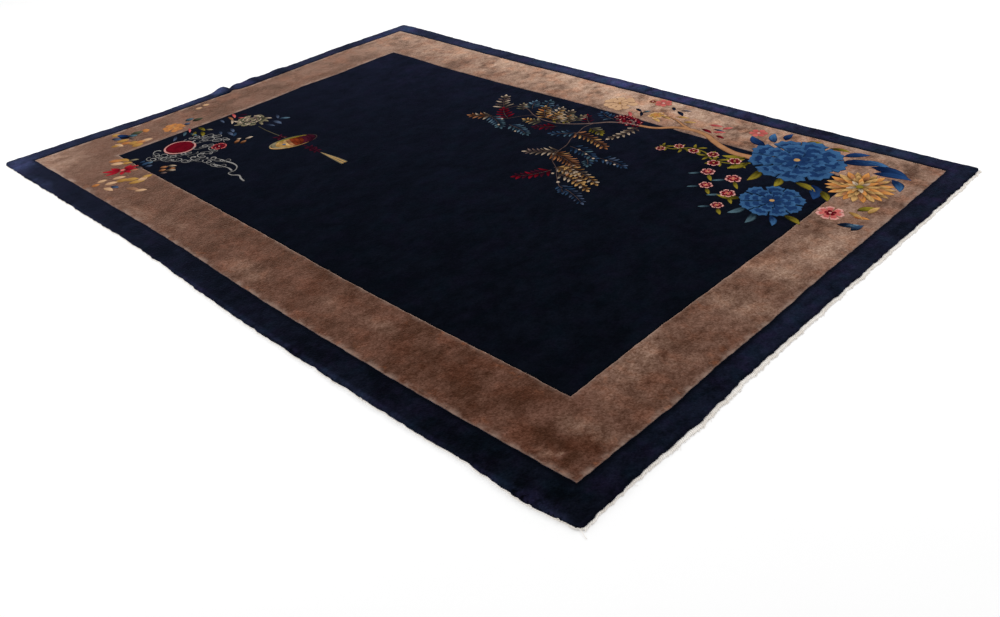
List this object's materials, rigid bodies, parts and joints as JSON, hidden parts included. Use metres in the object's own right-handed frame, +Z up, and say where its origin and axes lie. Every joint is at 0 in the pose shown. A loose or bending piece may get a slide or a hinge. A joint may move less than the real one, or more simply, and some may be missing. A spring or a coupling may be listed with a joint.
{
  "type": "peking rug",
  "caption": "Flat rectangular wool pile rug with carved border lines, cotton selvedges along its long edges and short cotton warp ends.",
  "frame": {"origin": "middle of the underside, on the floor", "axes": "+X along the rug's length, +Y along its width, +Z up out of the pile"},
  "size_m": [3.5069, 2.471, 0.0289],
  "materials": {
    "wool_pile": "matt, dense knotted wool pile",
    "cotton": "matt, natural cotton warp and overcasting"
  },
  "bodies": {
    "root": {"pile_rug": "wool_pile", "selvedge_near": "cotton", "selvedge_far": "cotton", "warp_ends_left": "cotton", "warp_ends_right": "cotton"}
  },
  "joints": []
}
